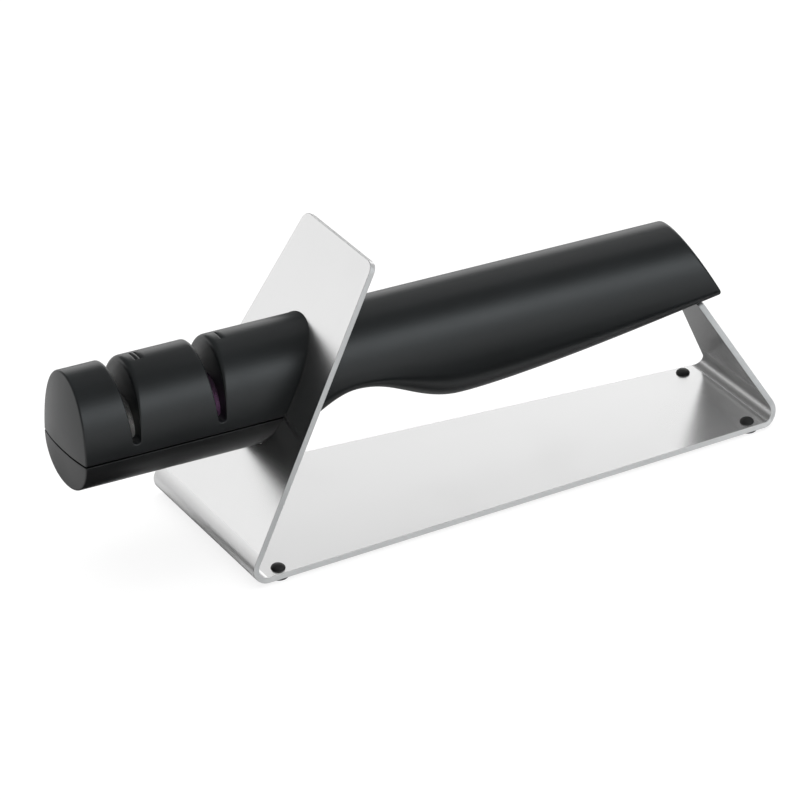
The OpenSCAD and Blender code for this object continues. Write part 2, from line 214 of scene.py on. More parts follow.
def toward(x, y, z):
    """The whole patch faces one direction."""
    return lambda centre: (x, y, z)


def onto(x=None, y=None, z=None):
    """The patch faces a point, line or plane, given by the coordinates that are fixed on it."""
    return lambda centre: [0 if a is None else a - c for a, c in zip((x, y, z), centre)]


def away_from(x=None, y=None, z=None):
    """The patch faces away from a point, line or plane."""
    return lambda centre: [0 if a is None else c - a for a, c in zip((x, y, z), centre)]


def roll(start, corner, end, steps):
    """Rows of a rounded edge from start to end, pulled towards the corner."""
    start, corner, end = (np.asarray(a, float) for a in (start, corner, end))
    rows = []
    for k in range(steps + 1):
        t = k / steps
        rows.append((1 - t) ** 2 * start + 2 * t * (1 - t) * corner + t * t * end)
    return rows


# Shape of the wand
def signed_power(value, power):
    """A power that keeps the sign of its value."""
    return np.sign(value) * np.abs(value) ** power


def rise(x):
    """How far the underside rises above the keel."""
    x = np.asarray(x, float)
    notch_in = NOTCH_RISE * (1 + np.cos(np.pi * (NOTCH_AT - x) / (NOTCH_AT - NOTCH_START))) / 2
    notch_out = NOTCH_RISE * (1 + np.cos(np.pi * (x - NOTCH_AT) / (BELLY_FROM - NOTCH_AT))) / 2
    tail = TAIL_RISE * np.clip((x - BELLY_TO) / (TAIL_X - BELLY_TO), 0, None) ** RISE_POWER
    return np.select([x <= NOTCH_START, x <= NOTCH_AT, x <= BELLY_FROM, x <= BELLY_TO],
                     [0 * x, notch_in, notch_out, 0 * x], tail)


def widest_line(x):
    """Height of the widest line above the seam, and its angle on the upper skin."""
    height = rise(x) * EDGE_SHARE
    return height, np.arcsin((height / RIDGE_H) ** (RIDGE_POWER / 2))


def upper(x, share):
    """Skin above the widest line; share runs from 0 at the back over the ridge to 1 at the front."""
    _, start = widest_line(x)
    angle = start + (np.pi - 2 * start) * share
    y = HALF_W * signed_power(np.cos(angle), 2 / RIDGE_POWER)
    z = SEAM_Z + RIDGE_H * np.abs(np.sin(angle)) ** (2 / RIDGE_POWER)
    return np.stack([x + 0 * angle, y, z], -1)


def lower(x, share):
    """Skin below the widest line; share runs from 0 at the front under the keel to 1 at the back."""
    height, start = widest_line(x)
    angle = np.pi + np.pi * share
    y = HALF_W * np.cos(start) ** (2 / RIDGE_POWER) * signed_power(np.cos(angle), 2 / KEEL_POWER)
    depth = KEEL_H + height - rise(x)
    z = SEAM_Z + height - depth * np.abs(np.sin(angle)) ** (2 / KEEL_POWER)
    return np.stack([x + 0 * angle, y, z], -1)


def slanted(skin, seam_x, lean, shares, rounds=12):
    """Skin along a line that leans with a share of the tail's cut; the rounds bring x and height together."""
    shares = np.asarray(shares, float)
    x = np.full(shares.shape, float(seam_x))
    for _ in range(rounds):
        points = skin(x, shares)
        x = seam_x - lean * (points[..., 2] - SEAM_Z) / math.tan(TAIL_ANGLE)
    return skin(x, shares)


def skin_out(points):
    """Outward direction of the head's skin, in the plane across the wand."""
    y, height = points[..., 1], points[..., 2] - SEAM_Z
    power = np.where(height >= 0, RIDGE_POWER, KEEL_POWER)
    tall = np.where(height >= 0, RIDGE_H, KEEL_H)
    out_y = signed_power(y / HALF_W, power - 1) / HALF_W
    out_z = signed_power(height / tall, power - 1) / tall
    out = np.stack([0 * out_y, out_y, out_z], -1)
    return out / np.linalg.norm(out, axis=-1, keepdims=True)


def dome_x(y, z, halvings=30):
    """The tip's bulging face at a point of the cross-section; the halvings find its share of the outline."""
    low, high = np.full(y.shape, 0.001), np.full(y.shape, 1.2)
    for _ in range(halvings):
        share = (low + high) / 2
        height = (z - MIDDLE_Z) / share + MIDDLE_Z - SEAM_Z
        above = np.abs(y / share / HALF_W) ** RIDGE_POWER + np.abs(height / RIDGE_H) ** RIDGE_POWER
        below = np.abs(y / share / HALF_W) ** KEEL_POWER + np.abs(height / KEEL_H) ** KEEL_POWER
        outside = np.where(height >= 0, above, below) > 1
        low, high = np.where(outside, share, low), np.where(outside, high, share)
    return TIP_X - TIP_DOME * (1 - np.minimum(high, 1) ** 2)


def drawn_in(ring, share):
    """A ring drawn in across the wand, towards the middle of the seam's plane."""
    middle = np.array([0, 0, SEAM_Z])
    return middle + (ring - middle) * [1, share, share]


def share_at_height(height):
    """Share along the upper skin of the head at a height above the seam, on its back half."""
    return math.asin((height / RIDGE_H) ** (RIDGE_POWER / 2)) / math.pi


def share_at_width(y):
    """The same at a distance from the middle plane."""
    return math.acos((y / HALF_W) ** (RIDGE_POWER / 2)) / math.pi


def keel_share_at_width(y):
    """Share along the lower skin at a distance from the middle plane, on its front half."""
    return math.acos((y / HALF_W) ** (KEEL_POWER / 2)) / math.pi


# Rows along the head's upper skin, as shares: sides, the turn of a slot's round floor, and the ridge
SLOT_TURNS = np.radians(np.linspace(90, 0, 10))
SIDE_ROWS = [share_at_height(height) for height in (SEAM_ROUND, 1.0, 1.9)]
TURN_ROWS = [share_at_height(SLOT_Z - SEAM_Z - (SLOT_HALF + MOUTH) * math.sin(turn)) for turn in SLOT_TURNS]
MARK_ROWS = [share_at_width(MARK_L / 2), share_at_width(MARK_L / 2 - MARK_END)]
RIDGE_ROWS = sorted(list(np.linspace(TURN_ROWS[-1], 0.5, 40)[1:-1]) + MARK_ROWS)
BACK_ROWS = np.array(SIDE_ROWS + TURN_ROWS + RIDGE_ROWS)
ROWS = np.concatenate([BACK_ROWS, [0.5], 1 - BACK_ROWS[::-1]])
N_SIDE = len(SIDE_ROWS)
N_TURN = len(TURN_ROWS)

# Rows of the grip: above, the same with its widest line, and below, somewhat closer together at the sides
GRIP_ROWS = np.concatenate([[0.0], ROWS, [1.0]])
EVEN = np.linspace(0, 1, 61)
KEEL_ROWS = 0.5 * (1 - np.cos(np.pi * EVEN)) / 2 + 0.5 * EVEN


def mouth_size(z, side):
    """How far the rounding of a slot's edge reaches, larger up on the ridge."""
    share = np.clip((z - SLOT_Z) / (SEAM_Z + RIDGE_H - SLOT_Z), 0, 1) ** 2
    return MOUTH + (MOUTH_MORE_AT_TIP if side < 0 else MOUTH_MORE_AT_GRIP) * share


def wall_x(slot_x, z, side):
    """A slot's wall at a height; side is -1 towards the tip and 1 towards the grip."""
    lean = math.tan(SLOT_LEAN if side < 0 else SLOT_BACK_LEAN)
    return slot_x + side * (SLOT_HALF + np.clip(z - SLOT_Z, 0, None) * lean)


def mouth_line(slot_x, side):
    """Where the rounding of a slot's edge leaves the skin, as an x for every row of the head."""
    xs = np.empty(len(ROWS))
    for i, share in enumerate(ROWS):
        row = min(i, len(ROWS) - 1 - i)
        z = upper(0.0, np.array(share))[2]
        if row < N_SIDE:
            xs[i] = slot_x
        elif row < N_SIDE + N_TURN:
            xs[i] = slot_x + side * (SLOT_HALF + MOUTH) * math.cos(SLOT_TURNS[row - N_SIDE])
        else:
            xs[i] = wall_x(slot_x, z, side) + side * mouth_size(z, side)
    return xs


def mark_columns(slot_x, bars):
    """Places along the head at which the bars of a stage mark begin, sink, rise and end."""
    columns = []
    for bar in range(bars):
        x = slot_x + MARK_OFFSET + 2 * bar * MARK_W
        columns += [x, x + MARK_SLOPE, x + MARK_W - MARK_SLOPE, x + MARK_W]
    return columns


def engrave(points, slot_x, bars):
    """Sinks the stage marks into the ridge."""
    half_slope, half_end = MARK_SLOPE / 2, MARK_END / 2
    for bar in range(bars):
        x = slot_x + MARK_OFFSET + 2 * bar * MARK_W
        inside = ((points[:, 0] > x + half_slope) & (points[:, 0] < x + MARK_W - half_slope)
                  & (np.abs(points[:, 1]) < MARK_L / 2 - half_end) & (points[:, 2] > SEAM_Z + RIDGE_H / 2))
        points[:, 2] -= MARK_DEPTH * inside


def columns_between(first, last, count):
    """Columns between two arrays of x, both ends included."""
    return [first + (last - first) * k / (count - 1) for k in range(count)]


def head_skin(shell, mouths):
    """The head's skin above the seam, from the tip to the notch, open at both slots."""
    tip = np.full(len(ROWS), TIP_X + RIM_ROUND)
    neck = np.full(len(ROWS), NOTCH_START)
    stretches = [columns_between(tip, mouths[FINE_X][0], 12)]
    for (slot_x, bars), end in zip(SLOTS, (mouths[COARSE_X][0], neck)):
        marks = [np.full(len(ROWS), x) for x in mark_columns(slot_x, bars)]
        before = columns_between(mouths[slot_x][1], marks[0], 5)
        stretches.append(before + marks[1:-1] + columns_between(marks[-1], end, 12))
    for columns in stretches:
        rows = []
        for xs in columns:
            points = upper(xs, ROWS)
            for slot_x, bars in SLOTS:
                engrave(points, slot_x, bars)
            rows.append(points)
        shell.grid(rows, away_from(y=0, z=SEAM_Z))


def floor_edge(slot_x, side, front, turn):
    """Corner and inner end of the mouth's rounding at a turn of the slot's round floor."""
    x = slot_x + side * SLOT_HALF * math.cos(turn)
    z = SLOT_Z - SLOT_HALF * math.sin(turn)
    share = share_at_height(z - SEAM_Z)
    corner = upper(x, np.array(share if front > 0 else 1 - share))
    end = corner - MOUTH * skin_out(corner)
    end[0], end[2] = x, z
    return corner, end


def wall_edge(slot_x, side, start):
    """The same on the slot's wall, above the floor; start is where the rounding leaves the skin."""
    corner = start.copy()
    corner[0] = wall_x(slot_x, start[2], side)
    end = start - mouth_size(start[2], side) * skin_out(start)
    end[0] = wall_x(slot_x, end[2], side)
    end[2] = max(end[2], SLOT_Z)
    return corner, end


def window_edges(slot_x, side, mouth):
    """Near and far edge of a slot's guide wall, where the wheels' round window cuts it."""
    near, far = [], []
    low = math.asin((SLOT_Z - AXLE_Z) / WINDOW_R)
    first = math.atan2(SLOT_Z - AXLE_Z, abs(mouth[N_TURN - 1][1]))
    for j, (_, y, z) in enumerate(mouth):
        front = -1 if y < 0 else 1
        row = min(j, len(mouth) - 1 - j)
        if row < N_TURN:
            for edge, reach in ((near, SLOT_HALF), (far, SLOT_HALF + GUIDE_T)):
                edge_z = SLOT_Z - reach * math.sin(SLOT_TURNS[row])
                edge_y = front * math.sqrt(WINDOW_R ** 2 - (edge_z - AXLE_Z) ** 2)
                edge.append([slot_x + side * reach * math.cos(SLOT_TURNS[row]), edge_y, edge_z])
        else:
            angle = math.atan2(z - AXLE_Z, abs(y))
            angle = low + (angle - first) * (math.pi / 2 - low) / (math.pi / 2 - first)
            edge_y = front * WINDOW_R * math.cos(angle)
            edge_z = AXLE_Z + WINDOW_R * math.sin(angle)
            edge_x = wall_x(slot_x, edge_z, side)
            near.append([edge_x, edge_y, edge_z])
            far.append([edge_x + side * GUIDE_T, edge_y, edge_z])
    return np.array(near), np.array(far)


def slot_walls(shell, slot_x, side, mouth_xs):
    """Rounded mouth, wall and window on one side of a slot."""
    starts = upper(mouth_xs, ROWS)[N_SIDE:len(ROWS) - N_SIDE]
    corners, ends = [], []
    for j, start in enumerate(starts):
        row = min(j, len(starts) - 1 - j)
        if row < N_TURN:
            corner, end = floor_edge(slot_x, side, -1 if start[1] < 0 else 1, SLOT_TURNS[row])
        else:
            corner, end = wall_edge(slot_x, side, start)
        corners.append(corner)
        ends.append(end)
    ends = np.array(ends)
    near, far = window_edges(slot_x, side, ends)
    shell.grid(roll(starts, corners, ends, 7), away_from(y=0, z=SEAM_Z))
    shell.grid([ends, (ends + near) / 2, near], onto(x=slot_x))
    shell.grid([near, far], onto(y=0, z=AXLE_Z), group=1)


def tip_face(shell, start, edge_z):
    """Rounds the tip's rim and closes its bulging face at the seam's edge; returns the face's edge there."""
    corner = start.copy()
    corner[:, 0] = TIP_X
    end = corner - RIM_ROUND * skin_out(corner)
    end[0, 2] = end[-1, 2] = edge_z
    end[:, 0] = dome_x(end[:, 1], end[:, 2])
    rim = roll(start, corner, end, 6)
    shell.grid(rim, toward(-1, 0, 0))
    steps = 14
    face = []
    for k in range(steps + 1):
        y, z = end[:, 1], end[:, 2] + (edge_z - end[:, 2]) * k / steps
        face.append(np.stack([dome_x(y, z), y, z], -1))
    shell.grid(face, toward(-1, 0, 0))
    return [row[0] for row in rim] + list(face[-1][1:-1]) + [row[-1] for row in rim[::-1]]


def level_out(path):
    """Outward directions, level with the table, of a path round the tip."""
    run = np.gradient(path, axis=0)
    out = np.stack([run[:, 1], -run[:, 0], 0 * run[:, 0]], -1)
    out /= np.linalg.norm(out, axis=1, keepdims=True)
    return out if out[len(path) // 2][0] < 0 else -out


def tip_and_seam(shell, skin, rows, from_x, up):
    """The tip of one half of the head, and its edge along the seam; up is 1 above the seam and -1 below."""
    start = skin(np.full(len(rows), TIP_X + RIM_ROUND), rows)
    across = tip_face(shell, start, SEAM_Z + up * SEAM_ROUND)
    along_head = [from_x, 18, 10, 0, -10, -20, -30, -40]
    one_side = [skin(x, rows[0]) for x in along_head]
    other_side = [skin(x, rows[-1]) for x in along_head[::-1]]
    path = np.array(one_side + across + other_side)
    out = level_out(path)
    corner = path - [0, 0, up * (SEAM_ROUND - SEAM_HALF_GAP)]
    edge = roll(path, corner, corner - out * SEAM_ROUND, 4)
    shell.grid(edge + [corner - out * SEAM_DEPTH], toward(0, 0, -up))


def grip_skin(shell, lean_from=148.0, finer_from=100.0):
    """The grip's skin above and below its widest line, which leans more and more towards the tail's cut."""
    stop = TAIL_X - TAIL_ROUND
    near, far = np.linspace(NOTCH_START, finer_from, 66), np.linspace(finer_from, stop, 62)
    stations = np.concatenate([near, far[1:]])
    tops, bottoms = [], []
    for x in stations:
        share = np.clip((x - lean_from) / (stop - lean_from), 0, 1)
        lean = share * share * (3 - 2 * share)
        tops.append(slanted(upper, x, lean, GRIP_ROWS))
        bottoms.append(slanted(lower, x, lean, KEEL_ROWS))
    shell.grid(tops, away_from(y=0, z=SEAM_Z))
    shell.grid(bottoms, toward(0, 0, -1))
    return np.concatenate([tops[-1], bottoms[-1][1:-1]])


def tail_face(shell, start):
    """Rounds the edge of the tail's slanting cut and closes it with a slightly bulging face."""
    facing = np.array([math.sin(TAIL_ANGLE), 0, math.cos(TAIL_ANGLE)])
    top, bottom = slanted(upper, TAIL_X, 1, GRIP_ROWS), slanted(lower, TAIL_X, 1, KEEL_ROWS)
    edge = np.concatenate([top, bottom[1:-1]])
    into = np.cross(facing, np.roll(edge, -1, 0) - np.roll(edge, 1, 0))
    into /= np.linalg.norm(into, axis=1, keepdims=True)
    middle = (edge.max(0) + edge.min(0)) / 2
    into *= np.sign(((middle - edge) * into).sum(1).mean())
    end = edge + into * TAIL_ROUND_IN
    shell.grid(roll(start, edge, end, 6), toward(*facing), wrap=True)
    rings = [end]
    for share in (0.8, 0.55, 0.3, 0.1):
        rings.append(middle + (end - middle) * share + facing * TAIL_BULGE * (1 - share * share))
    shell.grid(rings, toward(*facing), wrap=True)
    shell.cap(rings[-1], toward(*facing))


def handle_shell():
    """Upper half of the head, with its two slots, and the whole grip."""
    shell = Shell()
    mouths = {slot_x: (mouth_line(slot_x, -1), mouth_line(slot_x, 1)) for slot_x, _ in SLOTS}
    head_skin(shell, mouths)
    for slot_x, _ in SLOTS:
        for side, mouth_xs in zip((-1, 1), mouths[slot_x]):
            slot_walls(shell, slot_x, side, mouth_xs)
    tip_and_seam(shell, upper, ROWS, NOTCH_START, 1)
    tail_face(shell, grip_skin(shell))
    # The step behind the cover
    ring = lower(NOTCH_START, KEEL_ROWS)
    shell.grid([ring, drawn_in(ring, 0.8)], toward(-1, 0, 0), group=1)
    return shell


def screw_bore(shell, border, screw_x):
    """A counterbore from a square border in the cover's skin up to its seat, with a rounded edge."""
    screw_y = SCREW_Y * np.sign(border[:, 1].mean())
    turn = np.arctan2(border[:, 1] - screw_y, border[:, 0] - screw_x)

    def circle(radius):
        return screw_x + radius * np.cos(turn), screw_y + radius * np.sin(turn)

    def on_skin(radius, deeper=0.0):
        x, y = circle(radius)
        z = SEAM_Z - KEEL_H * (1 - np.abs(y / HALF_W) ** KEEL_POWER) ** (1 / KEEL_POWER) + deeper
        return np.stack([x, y, z], -1)

    def on_seat(radius):
        x, y = circle(radius)
        return np.stack([x, y, SEAT_Z + 0 * x], -1)

    outer, inner = on_skin(BORE_R + BORE_ROUND), on_skin(BORE_R, BORE_ROUND)
    shell.grid([border, outer], toward(0, 0, -1), wrap=True)
    shell.grid(roll(outer, on_skin(BORE_R), inner, 3), toward(0, 0, -1), wrap=True)
    shell.grid([inner, on_seat(BORE_R)], onto(x=screw_x, y=screw_y), wrap=True)
    shell.grid([on_seat(BORE_R), on_seat(SCREW_HOLE_R)], toward(0, 0, -1), 1, wrap=True)


def cover_shell():
    """Lower half of the head, with the counterbores of its four screws."""
    shell = Shell()
    # A square of the grid is left out round each screw, with this many steps and this reach from the middle
    steps, reach = 10, 3.3
    edge_row = math.asin((SEAM_ROUND / KEEL_H) ** (KEEL_POWER / 2)) / math.pi
    square_rows = [keel_share_at_width(y) for y in np.linspace(SCREW_Y + reach, SCREW_Y - reach, steps + 1)]
    side_rows = np.linspace(edge_row, square_rows[0], 10)
    half = np.concatenate([side_rows, square_rows[1:], np.linspace(square_rows[-1], 0.5, 12)[1:]])
    rows = np.concatenate([half, 1 - half[:-1][::-1]])
    width = len(rows)
    first = len(side_rows) - 1
    across = [(first, first + steps), (width - 1 - first - steps, width - 1 - first)]

    columns, along = [], []
    x = TIP_X + RIM_ROUND
    for screw_x in SCREW_XS:
        columns += list(np.linspace(x, screw_x - reach, 8)[:-1])
        along.append((len(columns), len(columns) + steps))
        x = screw_x + reach
        columns += list(np.linspace(screw_x - reach, x, steps + 1)[:-1])
    columns += [x, COVER_END - SEAM_ROUND]
    grid = np.array([lower(x, rows) for x in columns])
    faces = []
    for i in range(len(columns) - 1):
        here, there = i * width, (i + 1) * width
        for j in range(width - 1):
            if not any(a <= i < b and c <= j < d for a, b in along for c, d in across):
                faces.append((here + j, here + j + 1, there + j + 1, there + j))
    shell.add(grid.reshape(-1, 3), faces, away_from(y=0, z=SEAM_Z))
    for (a, b), screw_x in zip(along, SCREW_XS):
        for c, d in across:
            border = ([grid[i, c] for i in range(a, b)] + [grid[b, j] for j in range(c, d)]
                      + [grid[i, d] for i in range(b, a, -1)] + [grid[a, j] for j in range(d, c, -1)])
            screw_bore(shell, np.array(border), screw_x)

    tip_and_seam(shell, lower, rows, COVER_END - SEAM_ROUND, -1)
    corner = grid[-1] + [SEAM_ROUND, 0, 0]
    end = corner - SEAM_ROUND * skin_out(corner)
    shell.grid(roll(grid[-1], corner, end, 4), toward(1, 0, 0))
    shell.grid([end, drawn_in(end, 0.85)], toward(1, 0, 0))
    return shell


# Shape of the stand. Stations run down the unrolled sheet, from the plate's end to the leg's end.
PLATE_TANGENT = BEND_OUT / math.tan(PLATE_ANGLE / 2)
LEG_TANGENT = BEND_OUT / math.tan(LEG_ANGLE / 2)
LEG_END_X = BASE_L - (SEAM_Z - BASE_Z) / math.tan(LEG_ANGLE)
LEG_L = (SEAM_Z - KEEL_H + float(rise(LEG_END_X)) - LEG_GAP - BASE_Z) / math.sin(LEG_ANGLE)
PLATE_STOP = PLATE_L - PLATE_TANGENT
BASE_START = PLATE_STOP + BEND_OUT * (math.pi - PLATE_ANGLE)
BASE_STOP = BASE_START + BASE_L - PLATE_TANGENT - LEG_TANGENT
LEG_START = BASE_STOP + BEND_OUT * (math.pi - LEG_ANGLE)
SHEET_END = LEG_START + LEG_L - LEG_TANGENT
PLATE_BEND = list(np.linspace(PLATE_STOP, BASE_START, 17))
LEG_BEND = list(np.linspace(BASE_STOP, LEG_START, 17))


def plate_half(slope):
    """Half the plate's width at a length up its slope."""
    return (BASE_W_PLATE + (PLATE_TOP_W - BASE_W_PLATE) * slope / PLATE_L) / 2


def base_half(x):
    """Half the base's width."""
    return (BASE_W_PLATE + (BASE_W_LEG - BASE_W_PLATE) * x / BASE_L) / 2


def leg_half(slope):
    """Half the leg's width at a length up its slope."""
    return (BASE_W_LEG - LEG_TAPER * slope) / 2


def half_width(station):
    """Half the sheet's width at a station; in a bend it goes over from one part to the next."""
    if station <= PLATE_STOP:
        return plate_half(PLATE_L - station)
    if station <= BASE_START:
        share = (station - PLATE_STOP) / (BASE_START - PLATE_STOP)
        return plate_half(PLATE_TANGENT) * (1 - share) + base_half(PLATE_TANGENT) * share
    if station <= BASE_STOP:
        return base_half(PLATE_TANGENT + station - BASE_START)
    if station <= LEG_START:
        share = (station - BASE_STOP) / (LEG_START - BASE_STOP)
        return base_half(BASE_L - LEG_TANGENT) * (1 - share) + leg_half(LEG_TANGENT) * share
    return leg_half(LEG_TANGENT + station - LEG_START)


def folded(station, y, depth):
    """A point of the unrolled sheet, at a depth below its outer face, in its folded place."""
    if station <= PLATE_STOP:
        slope = PLATE_L - station
        return (slope * math.cos(PLATE_ANGLE) + depth * math.sin(PLATE_ANGLE), y,
                BASE_Z + slope * math.sin(PLATE_ANGLE) - depth * math.cos(PLATE_ANGLE))
    if BASE_START < station <= BASE_STOP:
        return (PLATE_TANGENT + station - BASE_START, y, BASE_Z + depth)
    if station > LEG_START:
        slope = LEG_TANGENT + station - LEG_START
        return (BASE_L - slope * math.cos(LEG_ANGLE) - depth * math.sin(LEG_ANGLE), y,
                BASE_Z + slope * math.sin(LEG_ANGLE) - depth * math.cos(LEG_ANGLE))
    if station <= BASE_START:
        middle_x = PLATE_TANGENT
        angle = math.pi / 2 + PLATE_ANGLE + (station - PLATE_STOP) / BEND_OUT
    else:
        middle_x = BASE_L - LEG_TANGENT
        angle = 1.5 * math.pi + (station - BASE_STOP) / BEND_OUT
    radius = BEND_OUT - depth
    return (middle_x + radius * math.cos(angle), y, BASE_Z + BEND_OUT + radius * math.sin(angle))


def fold(loop, depth):
    """Folds a loop or list of points of the unrolled sheet."""
    return np.array([folded(station, y, depth) for station, y in loop])


def inside(points, loop):
    """Which points lie inside a closed loop of the plane."""
    x, y = points[:, 0], points[:, 1]
    hit = np.zeros(len(points), bool)
    for (x0, y0), (x1, y1) in zip(loop, np.roll(loop, -1, 0)):
        if y0 != y1:
            crosses = (y0 > y) != (y1 > y)
            hit ^= crosses & (x < x0 + (y - y0) * (x1 - x0) / (y1 - y0))
    return hit


def beside_edge(edge):
    """Directions at a right angle to edges of the plane."""
    return np.stack([edge[:, 1], -edge[:, 0]], -1) / np.linalg.norm(edge, axis=1, keepdims=True)


def offset(loop, amount):
    """Moves a closed loop of the plane along its outward directions."""
    before = beside_edge(loop - np.roll(loop, 1, 0))
    after = beside_edge(np.roll(loop, -1, 0) - loop)
    out = before + after
    out /= (out * before).sum(1)[:, None]
    area = (loop[:, 0] * np.roll(loop[:, 1], -1) - np.roll(loop[:, 0], -1) * loop[:, 1]).sum()
    return loop + out * amount * np.sign(area)


def sheet_side():
    """One side of the unrolled sheet, from the plate's corner to the leg's, as stations and half widths."""
    plate_corner = [PLATE_CORNER_R * (1 - math.sin(a)) for a in np.radians(np.linspace(90, 0, 9))]
    on_plate = [25, 50, 75]
    on_base = list(np.linspace(BASE_START, BASE_STOP, 8)[1:-1])
    leg_corner = [SHEET_END - LEG_CORNER_R * (1 - math.sin(a)) for a in np.radians(np.linspace(0, 90, 6))]
    points = []
    for station in plate_corner + on_plate + PLATE_BEND + on_base + LEG_BEND + leg_corner:
        y = half_width(station)
        if station < PLATE_CORNER_R:
            y -= PLATE_CORNER_R - math.sqrt(PLATE_CORNER_R ** 2 - (PLATE_CORNER_R - station) ** 2)
        if station > SHEET_END - LEG_CORNER_R:
            short = LEG_CORNER_R - SHEET_END + station
            y -= LEG_CORNER_R - math.sqrt(max(0, LEG_CORNER_R ** 2 - short ** 2))
        points.append((station, y))
    return points


def outline(side):
    """The whole outline of the unrolled sheet, from one side of it."""
    return np.array(side + [(station, -y) for station, y in side[::-1]])


def wand_hole(depth, grow):
    """The plate's hole round the wand, on the unrolled sheet; grow widens it."""
    turns = np.linspace(0, 2 * np.pi, 121)[:-1]
    upper_half = np.sin(turns) >= 0
    power = np.where(upper_half, RIDGE_POWER, KEEL_POWER)
    tall = np.where(upper_half, RIDGE_H, KEEL_H) + HOLE_GAP + grow
    y = (HALF_W + HOLE_GAP + grow) * signed_power(np.cos(turns), 2 / power)
    z = SEAM_Z + tall * signed_power(np.sin(turns), 2 / power)
    slope = (z - BASE_Z + depth * math.cos(PLATE_ANGLE)) / math.sin(PLATE_ANGLE)
    return np.stack([PLATE_L - slope, y], -1)


def foot_holes():
    """The four round holes of the feet, on the unrolled sheet, each with its middle in the folded base."""
    turns = np.linspace(0, 2 * np.pi, 33)[:-1]
    holes = []
    for x in (FOOT_END_INSET, BASE_L - FOOT_END_INSET):
        for side in (-1, 1):
            station = BASE_START + x - PLATE_TANGENT
            y = side * (base_half(x) - FOOT_SIDE_INSET)
            loop = np.stack([station + FOOT_HOLE_R * np.cos(turns), y + FOOT_HOLE_R * np.sin(turns)], -1)
            holes.append((x, y, loop))
    return holes


def closed_edges(first, count):
    """Edges of a closed loop of points, by their numbers."""
    return [(first + i, first + (i + 1) % count) for i in range(count)]


def sheet_face(shell, side, depth):
    """One face of the sheet, filled with triangles between its border and its holes."""
    border = offset(outline(side), -SHEET_ROUND)
    holes = [wand_hole(depth, SHEET_ROUND * HOLE_ROUND_SHARE)] + [loop for _, _, loop in foot_holes()]
    points = [Vector(p) for p in border]
    edges = closed_edges(0, len(border))
    # Lines across the sheet at every step of a bend
    bends = PLATE_BEND + LEG_BEND
    edges += [(i, len(border) - 1 - i) for i, (station, _) in enumerate(side) if station in bends]
    for loop in holes:
        edges += closed_edges(len(points), len(loop))
        points += [Vector(p) for p in loop]
    flat, _, faces, _, _, _ = delaunay_2d_cdt(points, edges, [], 0, 0.00001)
    flat = np.array([tuple(p) for p in flat])
    centres = np.array([flat[list(face)].mean(0) for face in faces])
    kept = inside(centres, border)
    for loop in holes:
        kept &= ~inside(centres, loop)
    # Each triangle's facing is set on its own, since the sheet turns right round
    here, there = fold(flat, depth), fold(flat, SHEET_T - depth)
    for face, keep in zip(faces, kept):
        if keep:
            corners = list(face)
            away = (here[corners] - there[corners]).mean(0)
            shell.add(here[corners], [(0, 1, 2)], toward(*away))


def stand_shell():
    """The folded sheet, with rounded edges, the wand's hole and the feet's holes."""
    shell = Shell()
    side = sheet_side()
    # Each layer of the rounded edge has a depth and a distance from the full outline
    turns = np.radians([0, 30, 60, 90])
    steps = [(SHEET_ROUND * (1 - math.cos(a)), SHEET_ROUND * (1 - math.sin(a))) for a in turns]
    layers = steps + [(SHEET_T - depth, short) for depth, short in steps[::-1]]
    edge = [fold(offset(outline(side), -short), depth) for depth, short in layers]
    shell.grid(edge, away_from(y=0), wrap=True)
    hole = [fold(wand_hole(depth, short * HOLE_ROUND_SHARE), depth) for depth, short in layers]
    shell.grid(hole, onto(y=0, z=MIDDLE_Z), wrap=True)
    for x, y, loop in foot_holes():
        shell.grid([fold(loop, 0), fold(loop, SHEET_T)], onto(x=x, y=y), 1, wrap=True)
    for depth in (0.0, SHEET_T):
        sheet_face(shell, side, depth)
    return shell


# Shader nodes
def plug(tree, target, **inputs):
    """Joins sockets to a node's inputs, or sets their values; i0, i1 and so on name an input by its place."""
    for key, value in inputs.items():
        by_place = key[0] == "i" and key[1:].isdigit()
        socket = target.inputs[int(key[1:]) if by_place else key.replace("_", " ")]
        if isinstance(value, bpy.types.NodeSocket):
            tree.links.new(value, socket)
        else:
            socket.default_value = value


def node(tree, kind, settings=None, **inputs):
    """Adds a node of a kind."""
    added = tree.nodes.new("ShaderNode" + kind)
    for key, value in (settings or {}).items():
        setattr(added, key, value)
    plug(tree, added, **inputs)
    return added


def maths(tree, operation, *values):
    """The result of a maths node over values and sockets."""
    inputs = {f"i{k}": value for k, value in enumerate(values)}
    return node(tree, "Math", {"operation": operation}, **inputs).outputs[0]


def largest(tree, value, *others):
    for other in others:
        value = maths(tree, "MAXIMUM", value, other)
    return value


def product(tree, value, *others):
    for other in others:
        value = maths(tree, "MULTIPLY", value, other)
    return value


def change(tree, value, start, stop, low=0.0, high=1.0):
    """Low up to start, high from stop on, and a straight change between them."""
    return node(tree, "MapRange", None, Value=value, From_Min=start, From_Max=stop, To_Min=low,
                To_Max=high).outputs[0]


def ease(tree, value, start, stop, low=0.0, high=1.0):
    """The same with a soft start and end."""
    return node(tree, "MapRange", {"interpolation_type": "SMOOTHSTEP"}, Value=value, From_Min=start,
                From_Max=stop, To_Min=low, To_Max=high).outputs[0]


def mix(tree, factor, low, high):
    return node(tree, "Mix", None, Factor=factor, A=low, B=high).outputs[0]


def axes(tree, space):
    """X, Y and Z of a point's object coordinates in metres, of its normal or of a direction of the world."""
    return node(tree, "SeparateXYZ", None, Vector=node(tree, "TexCoord").outputs[space]).outputs


def coords(tree, scale=(1, 1, 1)):
    """Object coordinates in millimetres, stretched."""
    return node(tree, "Mapping", None, Vector=node(tree, "TexCoord").outputs["Object"],
                Scale=tuple(1000 * s for s in scale)).outputs[0]


